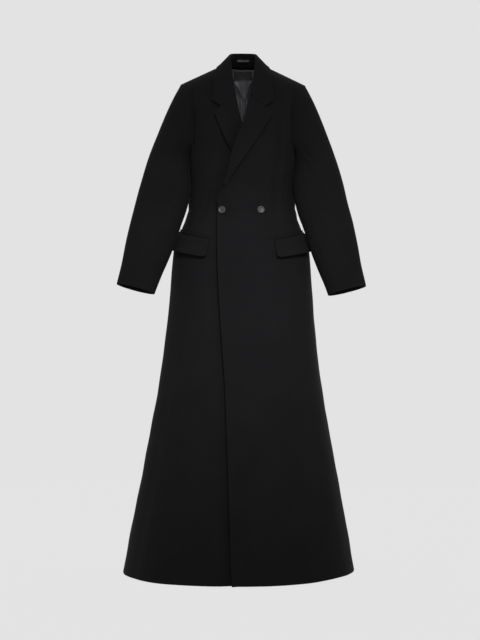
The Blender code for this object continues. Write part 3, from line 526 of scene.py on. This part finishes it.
EDGE_LINE = rows(
    "height across",
    (-1.532, -0.0196), (-1.118, -0.0374), (-0.843, -0.0545), (-0.652, -0.0685), (-0.513, -0.0725),
    (-0.4035, -0.0735), (-0.376, -0.0590), (-0.307, -0.0390), (-0.270, -0.0300), (-0.210, -0.0085),
    (-0.160, 0.0085), (-0.100, 0.0205),
)


def from_edge(points):
    """How far each point lies from the left front's free edge, towards the wearer's left."""
    return points[:, 0] - np.interp(points[:, 2], *columns(EDGE_LINE, "height across"))


def curl_front(points):
    """The upper front lifts along its edge, but not where the button holds it down."""
    held = HOLD * np.exp(-(((points[:, 2] - BUTTON_HEIGHT) / HOLD_WIDTH) ** 2))
    free = ease(*CURL_FROM, points[:, 2]) * (1 - held)
    rise = FRONT_CURL * ease(CURL_WIDTH, 0.0, np.abs(from_edge(points))) * free
    return points - np.outer(rise, (0, 1, 0))


def sink_front(points):
    """The lower front lies deeper along the edge that covers it."""
    near = np.exp(-((from_edge(points) / SINK_WIDTH) ** 2))
    drop = FRONT_SINK * near * ease(*SINK_FROM, points[:, 2])
    return points + np.outer(drop, (0, 1, 0))


def curl_collar(points):
    """The two points of the collar stand off the shoulders."""
    rise = COLLAR_CURL * ease(*POINT_ACROSS, np.abs(points[:, 0])) * ease(*POINT_HEIGHT, points[:, 2])
    return points - np.outer(rise, (0, 1, 0))


print("a lapel rises", 1000 * LAPEL_CURL, "mm and a point of the collar", 1000 * COLLAR_CURL, "mm")

# %% [markdown]
# ## The cloth pieces
# One row for each piece of cloth: how often its faces are split, the rectangle that it is cut from, and
# what it hangs from or lies on. The flat area is taken from the solid, half its surface because a wall has
# two faces.

# %% Making the cloth
CUTS = rows(
    "node levels width length held on",
    ("back_left", 2, 0.34, 1.55, "hung", ["collar"]),
    ("back_right", 2, 0.34, 1.55, "hung", ["collar"]),
    ("front_left", 2, 0.37, 1.56, "hung", ["back_left"]),
    ("front_right", 2, 0.37, 1.56, "hung", ["back_right"]),
    ("side_left", 2, 0.56, 1.43, "hung", ["front_left", "back_left"]),
    ("side_right", 2, 0.56, 1.43, "hung", ["front_right", "back_right"]),
    ("sleeve_left_top", 3, 0.29, 0.67, "hung", ["front_left", "back_left"]),
    ("sleeve_right_top", 3, 0.29, 0.67, "hung", ["front_right", "back_right"]),
    ("sleeve_left_under", 3, 0.15, 0.53, "hung", ["side_left"]),
    ("sleeve_right_under", 3, 0.15, 0.53, "hung", ["side_right"]),
    ("lapel_left", 3, 0.10, 0.31, "folded", ["front_left"]),
    ("lapel_right", 3, 0.10, 0.31, "folded", ["front_right"]),
    ("collar", 3, 0.46, 0.13, "folded", ["back_left", "back_right"]),
    ("pocket_flap_left", 3, 0.16, 0.065, "hung", ["pocket_jet_left"]),
    ("pocket_flap_right", 3, 0.16, 0.065, "hung", ["pocket_jet_right"]),
    ("pocket_jet_left", 3, 0.15, 0.016, "laid", ["front_left", "side_left"]),
    ("pocket_jet_right", 3, 0.15, 0.016, "laid", ["front_right", "side_right"]),
)
SLEEVE_REACH, BODY_REACH = 0.0018, 0.0007


def half_area(mesh):
    return sum(face.area for face in mesh.polygons) / 2


cloth = {}
for cut in CUTS:
    piece = finer(cut.node, cut.levels, SLEEVE_REACH if "sleeve" in cut.node else BODY_REACH)
    if cut.node.startswith("sleeve_left"):
        put_points(piece, push_sleeve(points_of(piece), 1, LEFT_SLEEVE_FOLDS))
    elif cut.node.startswith("sleeve_right"):
        put_points(piece, push_sleeve(points_of(piece), -1, RIGHT_SLEEVE_FOLDS))
    elif cut.node == "collar":
        put_points(piece, curl_collar(points_of(piece)))
    elif cut.node.startswith("pocket_flap"):
        put_points(piece, push_body(points_of(piece), FLAP_FOLDS))
    elif cut.node.startswith("lapel"):
        side, edge_name = (1, "left") if cut.node == "lapel_left" else (-1, "right")
        put_points(piece, curl_lapel(push_body(points_of(piece)), side, edge_name))
    else:
        put_points(piece, push_body(points_of(piece)))
    if cut.node in ("front_left", "lapel_left"):
        put_points(piece, curl_front(points_of(piece)))
    if cut.node in ("front_right", "lapel_right"):
        put_points(piece, sink_front(points_of(piece)))
    dress(piece, cut.node, wool)
    cloth[cut.node] = piece
face_count = sum(len(piece.data.polygons) for piece in cloth.values())
print(len(cloth), "pieces of wool,", face_count, "faces")

# %% [markdown]
# ## Inside the neck
# The back lining shows in the neck, with its label and the hanger loop. Satin is thin and hangs with more
# width than it needs, so it falls in sharp crossing creases. These are pushed forward only, because the
# back of the coat is right behind it, and they start below the label, which is sewn flat. The lining is
# nearly flat, so here a turn is simply a metre across.

# %% Lining, label and loop
LINING_QUARTERS = ((-1, 1), (1, 1))
LABEL_FOOT = (-0.029, -0.040)
LINING_FOLDS = rows(
    FOLD,
    (-0.026, -0.038, 0.004, -0.094, 0.004, 0.0070, 0.0075),
    (0.026, -0.028, 0.010, -0.094, -0.003, 0.0050, 0.0065),
    (-0.006, -0.084, -0.001, -0.190, 0.001, 0.0042, 0.0075),
    (0.013, -0.090, 0.010, -0.130, 0.000, 0.0040, 0.0065),
    (-0.060, -0.072, -0.020, -0.092, 0.005, 0.0048, 0.0034),
    (-0.050, -0.108, -0.014, -0.134, -0.004, 0.0050, 0.0036),
    (0.056, -0.080, 0.018, -0.120, 0.004, 0.0050, 0.0034),
    (-0.034, -0.140, 0.024, -0.225, 0.006, 0.0070, 0.0030),
    (0.050, -0.150, -0.020, -0.240, 0.006, 0.0070, 0.0028),
    (-0.080, -0.130, -0.060, -0.300, 0.008, 0.0090, 0.0034),
    (0.080, -0.130, 0.064, -0.310, -0.008, 0.0090, 0.0034),
    (-0.030, -0.240, 0.030, -0.370, 0.010, 0.0090, 0.0032),
    (0.060, -0.260, -0.010, -0.390, 0.008, 0.0090, 0.0030),
)
INSIDE_CUTS = rows(
    "node levels finish slot width length held on",
    ("back_lining", 3, lining_satin_painted_light, "lining", 0.24, 0.41, "hung", ["collar"]),
    ("neck_label", 3, weave, "label", 0.068, 0.030, "laid", ["back_lining"]),
    ("hanger_loop", 2, loop_satin, "lining", 0.010, 0.045, "stretched", ["collar"]),
)
for cut in INSIDE_CUTS:
    piece = finer(cut.node, cut.levels, reach=0.0002, edge=0.0003)
    dress(piece, cut.node, cut.finish)
    cloth[cut.node] = piece

creased = points_of(cloth["back_lining"])
push = fold_push(creased[:, 0], creased[:, 2], LINING_QUARTERS, LINING_FOLDS)
creased[:, 1] -= push * ease(*LABEL_FOOT, creased[:, 2])
put_points(cloth["back_lining"], creased)
print("lining creases reach", round(1000 * push.max(), 1), "mm")

# %% [markdown]
# ## Thread
# A strand of thread is a thin tube along a few points. All strands of one seam are made as one piece. The
# rings of a tube are set up from a direction that is askew to every stitch.

# %% A piece made of strands
ASKEW = (0.31, 0.22, 0.93)


def strands(name, paths, radius, sides=7):
    """Tubes along paths of points, joined into one piece of thread."""
    vertices, faces = [], []
    for path in paths:
        path = np.array(path)
        ahead = np.gradient(path, axis=0)
        ahead /= np.linalg.norm(ahead, axis=1, keepdims=True)
        first = np.cross(ahead, ASKEW)
        first /= np.linalg.norm(first, axis=1, keepdims=True)
        second = np.cross(ahead, first)
        start = len(vertices)
        for spot, one, two in zip(path, first, second):
            for angle in np.arange(sides) * 2 * math.pi / sides:
                vertices.append(spot + radius * (one * math.cos(angle) + two * math.sin(angle)))
        for ring in range(len(path) - 1):
            at = start + ring * sides
            for i in range(sides):
                j = (i + 1) % sides
                faces.append([at + i, at + j, at + sides + j, at + sides + i])
        faces.append([start + i for i in reversed(range(sides))])
        faces.append([start + (len(path) - 1) * sides + i for i in range(sides)])
    mesh = bpy.data.meshes.new(name)
    mesh.from_pydata([tuple(map(float, v)) for v in vertices], [], faces)
    mesh.shade_smooth()
    mesh.materials.append(thread.material)
    piece = bpy.data.objects.new(name, mesh)
    bpy.context.scene.collection.objects.link(piece)
    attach(piece, "root")
    return piece


def bridge(start, end, out, height, steps=5):
    """A stitch from start to end that stands up by height in the middle."""
    t = np.linspace(0, 1, steps)[:, None]
    return np.array(start) * (1 - t) + np.array(end) * t + np.array(out) * height * (1 - (2 * t - 1) ** 2)


# %% [markdown]
# ## Buttons
# A horn button is turned on a lathe: a rounded rim, a dish, and four holes in it. The turned form comes
# from a short profile, the holes are drilled with a Boolean, and the solid says where the button sits and
# which way it faces.

# %% Turned buttons
BUTTON_PROFILE = rows(
    "radius height",
    (0.0088, -0.00225), (0.0104, -0.0018), (0.0110, -0.0006), (0.0109, 0.0008), (0.0104, 0.0018),
    (0.0096, 0.00225), (0.0087, 0.0021), (0.0076, 0.0013), (0.0064, 0.0007), (0.0050, 0.0005),
)
HOLE_OUT = 0.0021
HOLE_RADIUS = 0.0009
DIAGONAL = 0.707
HOLE_CORNERS = ((1, 1), (-1, -1), (-1, 1), (1, -1))
SEWING_HEIGHT = 0.0003
SEWING_STEP = 0.00022


def turned_button(name, steps=72):
    """A button at the origin that faces +Z."""
    shape = bmesh.new()
    rings = []
    for point in BUTTON_PROFILE:
        angles = np.arange(steps) * 2 * math.pi / steps
        ring = [(point.radius * math.cos(a), point.radius * math.sin(a), point.height) for a in angles]
        rings.append([shape.verts.new(place) for place in ring])
    for low, high in zip(rings, rings[1:]):
        for i in range(steps):
            j = (i + 1) % steps
            shape.faces.new([low[i], low[j], high[j], high[i]])
    shape.faces.new(rings[0][::-1])
    shape.faces.new(rings[-1])
    mesh = bpy.data.meshes.new(name)
    shape.to_mesh(mesh)
    shape.free()
    button = bpy.data.objects.new(name, mesh)
    bpy.context.scene.collection.objects.link(button)
    drills = bmesh.new()
    for quarter in range(4):
        angle = math.radians(45 + 90 * quarter)
        drill = bmesh.ops.create_cone(
            drills, cap_ends=True, segments=20, radius1=HOLE_RADIUS, radius2=HOLE_RADIUS, depth=0.02
        )
        place = (HOLE_OUT * math.cos(angle), HOLE_OUT * math.sin(angle), 0)
        bmesh.ops.translate(drills, verts=drill["verts"], vec=place)
    drill_mesh = bpy.data.meshes.new("drills")
    drills.to_mesh(drill_mesh)
    drills.free()
    drill_set = bpy.data.objects.new("drills", drill_mesh)
    bpy.context.scene.collection.objects.link(drill_set)
    holes = button.modifiers.new("holes", "BOOLEAN")
    holes.object = drill_set
    holes.operation = "DIFFERENCE"
    drilled = bpy.data.meshes.new_from_object(button.evaluated_get(bpy.context.evaluated_depsgraph_get()))
    button.modifiers.clear()
    button.data = drilled
    bpy.data.objects.remove(drill_set)
    drilled.shade_smooth()
    drilled.set_sharp_from_angle(angle=math.radians(40))
    return button


def node_pose(node):
    """The middle of a flat solid, and three axes: two along it and one out of it."""
    points = np.array([vertex.co for vertex in solids[node].data.vertices])
    middle = (points.min(axis=0) + points.max(axis=0)) / 2
    out = np.linalg.svd(points - points.mean(axis=0), full_matrices=False)[2][2]
    out = out * np.sign(-out[1])
    across = np.cross((0.0, 0.0, 1.0), out)
    across /= np.linalg.norm(across)
    return middle, across, np.cross(out, across), out


for node, spin in (("button_fastened", 8), ("button_show", -11)):
    middle, across, up, out = node_pose(node)
    turn = math.radians(spin)
    first = across * math.cos(turn) + up * math.sin(turn)
    second = np.cross(out, first)
    button = turned_button("turned_" + node)
    axes = np.stack([first, second, out])
    put_points(button, points_of(button) @ axes + middle)
    dress(button, node, horn)
    corner = HOLE_OUT * DIAGONAL
    places = [np.array([sx * corner, sy * corner, SEWING_HEIGHT]) for sx, sy in HOLE_CORNERS]
    holes = [place @ axes + middle for place in places]
    sewn = [
        bridge(holes[a] + shift, holes[b] + shift, out, height=0.0009)
        for a, b in ((0, 1), (2, 3))
        for shift in (first * SEWING_STEP, -first * SEWING_STEP)
    ]
    strands("thread_" + node, sewn, radius=0.00028)
    print(node, "sits at", np.round(middle, 4), "and faces", np.round(out, 2))

# %% [markdown]
# The buttonhole runs from the fastened button away from the free edge. It is worked by hand: a slit with a
# close row of stitches round it. Rays shot from the front find the cloth, so each stitch lies on it.

# %% Buttonhole
front_tree = BVHTree.FromObject(cloth["front_left"], bpy.context.evaluated_depsgraph_get())


def on_front(across, height):
    """The place on the left front, and the direction out of it."""
    spot, out, _, _ = front_tree.ray_cast(Vector((across, -1.0, height)), Vector((0.0, 1.0, 0.0)))
    return np.array(spot), np.array(out)


HOLE_FROM, HOLE_TO = -0.0615, -0.0320
SLIT, BORDER = 0.0003, 0.0021
STITCHES_ALONG, STITCHES_ROUND, FAN = 44, 9, 78
STITCH_HEIGHT = 0.0006
hole_height = node_pose("button_fastened")[0][2]
worked = []


def work_stitch(across, over, up):
    """A stitch from the slit to the border, in the direction (over, up)."""
    inner, out = on_front(across + over * SLIT, hole_height + up * SLIT)
    outer, _ = on_front(across + over * BORDER, hole_height + up * BORDER)
    worked.append(bridge(inner, outer, out, STITCH_HEIGHT))


for side in (-1, 1):
    for across in np.linspace(HOLE_FROM, HOLE_TO, STITCHES_ALONG):
        work_stitch(across, 0, side)
for angle in np.radians(np.linspace(-FAN, FAN, STITCHES_ROUND)):
    work_stitch(HOLE_TO, math.cos(angle), math.sin(angle))
buttonhole = strands("buttonhole_stitches", worked, radius=0.00036)
print(len(worked), "stitches round the buttonhole")

# %% [markdown]
# The label is sewn down with small stitches along its two ends, and the loop is tacked to the collar with a
# few strands at each end.

# %% Label stitches and loop tacks
LABEL_STITCHES = 9
LABEL_MARGIN = 0.005
LABEL_INSETS = (0.0016, 0.0036)
LABEL_EYE = -0.2
LOOP_TIP = 0.96
TACK = 0.0022
label_points = points_of(cloth["neck_label"])
label_tree = BVHTree.FromObject(cloth["neck_label"], bpy.context.evaluated_depsgraph_get())
low, high = label_points.min(axis=0), label_points.max(axis=0)
label_sewn = []
for side in (-1, 1):
    edge = (low[0] + high[0]) / 2 + side * (high[0] - low[0]) / 2
    for height in np.linspace(low[2] + LABEL_MARGIN, high[2] - LABEL_MARGIN, LABEL_STITCHES):
        ends = []
        for inset in LABEL_INSETS:
            eye = Vector((edge - side * inset, LABEL_EYE, height))
            spot, out, _, _ = label_tree.ray_cast(eye, Vector((0, 1, 0)))
            ends.append(spot)
        label_sewn.append(bridge(ends[0], ends[1], out, height=0.0003))
label_stitches = strands("label_stitches", label_sewn, radius=0.00022)

loop_points = points_of(cloth["hanger_loop"])
tacks = []
for side in (-1, 1):
    tip = loop_points[loop_points[:, 0] * side > LOOP_TIP * np.max(loop_points[:, 0] * side)]
    middle = tip.mean(axis=0)
    front = tip[:, 1].min()
    for slant in (-1, 1):
        start = (middle[0] - side * TACK, front, middle[2] - slant * TACK)
        end = (middle[0], front, middle[2] + slant * TACK)
        tacks.append(bridge(start, end, (0, -1, 0), height=0.0005))
loop_tacks = strands("loop_tacks", tacks, radius=0.00025)
print(len(label_sewn), "label stitches,", len(tacks), "tacks")

# %% [markdown]
# ## The cloth shown
# The stitches that go with some of the pieces are listed, and the cloth that is shown is added up, half
# the surface of each piece.

# %% The cloth shown
goes_with = {"front_left": [buttonhole], "neck_label": [label_stitches], "hanger_loop": [loop_tacks]}
for cut in CUTS + INSIDE_CUTS:
    goes_with.get(cut.node, ())
total = sum(half_area(piece.data) for piece in cloth.values())
print("cloth shown:", round(total, 2), "square metres")

# %% [markdown]
# ## Studio
# The coat stands on a plain pale floor in front of an even, pale ground. The floor glows faintly in the
# same tone as the ground, so that no edge shows between them, and the little light that it still catches
# darkens softly below the hem.

# %% Floor and ground
GROUND = 0.767
FLOOR_GAP = 0.004
floor_height = solid_box[0][2] - FLOOR_GAP
floor_shape = bmesh.new()
bmesh.ops.create_circle(floor_shape, cap_ends=True, segments=96, radius=2.6)
floor_mesh = bpy.data.meshes.new("floor")
floor_shape.to_mesh(floor_mesh)
floor_shape.free()
floor_mesh.transform(Matrix.Translation((0, 0, floor_height)))
floor = bpy.data.objects.new("floor", floor_mesh)
bpy.context.scene.collection.objects.link(floor)
pale = Finish("pale_floor", Specular_IOR_Level=0.0, Roughness=1.0, Emission_Strength=1.0)
pale_grain = pale.noise(scale=60, detail=3)
pale.paint(
    Base_Color=pale.blend(pale_grain, (0.010, 0.010, 0.010), (0.014, 0.014, 0.014)),
    Emission_Color=pale.blend(pale_grain, (0.758, 0.758, 0.758), (0.764, 0.764, 0.764)),
)
floor_mesh.materials.append(pale.material)

world = bpy.data.worlds.new("studio")
world.use_nodes = True
world.node_tree.nodes["Background"].inputs["Color"].default_value = (GROUND, GROUND, GROUND, 1)
bpy.context.scene.world = world
bpy.context.scene.view_settings.view_transform = "Standard"
print("floor at", round(floor_height, 4))

# %% [markdown]
# The pale ground lights the coat evenly from everywhere. One soft lamp is added in front, a little above
# and to the right, aimed at the middle of the coat. Its wide soft cone leaves the shoulders and the hem a
# little darker, and it throws the thin shadows along the lapels, the front edge and the pocket flaps.

# %% Lamp
lamp_light = bpy.data.lights.new("soft_lamp", "SPOT")
lamp_light.energy = 760
lamp_light.spot_size = math.radians(19.5)
lamp_light.spot_blend = 1.0
lamp_light.shadow_soft_size = 0.35
soft_lamp = bpy.data.objects.new("soft_lamp", lamp_light)
soft_lamp.location = (0.55, -3.4, 1.40)
aim = Vector((-0.02, 0, -0.82)) - soft_lamp.location
soft_lamp.rotation_euler = aim.to_track_quat("-Z", "Y").to_euler()
bpy.context.scene.collection.objects.link(soft_lamp)
print("lamp", round(aim.length, 2), "m from the middle of the coat")

# %% [markdown]
# ## Camera
# The camera stands 4.5 m in front of the coat at the height of its middle, with a long lens, as in the
# photograph. The slight roll and shift are the photograph's own.

# %% Camera
PICTURE_HEIGHT = 640
LENS_PIXELS = 1485
SENSOR = 36
camera = bpy.data.objects.new("camera", bpy.data.cameras.new("camera"))
camera.data.sensor_fit = "VERTICAL"
camera.data.sensor_height = SENSOR
camera.data.lens = SENSOR * LENS_PIXELS / PICTURE_HEIGHT
camera.data.shift_x = -1 / PICTURE_HEIGHT
camera.location = (0, -4.5, -0.7697)
camera.rotation_euler = (math.radians(90), math.radians(-0.47), 0)
bpy.context.scene.collection.objects.link(camera)
bpy.context.scene.camera = camera
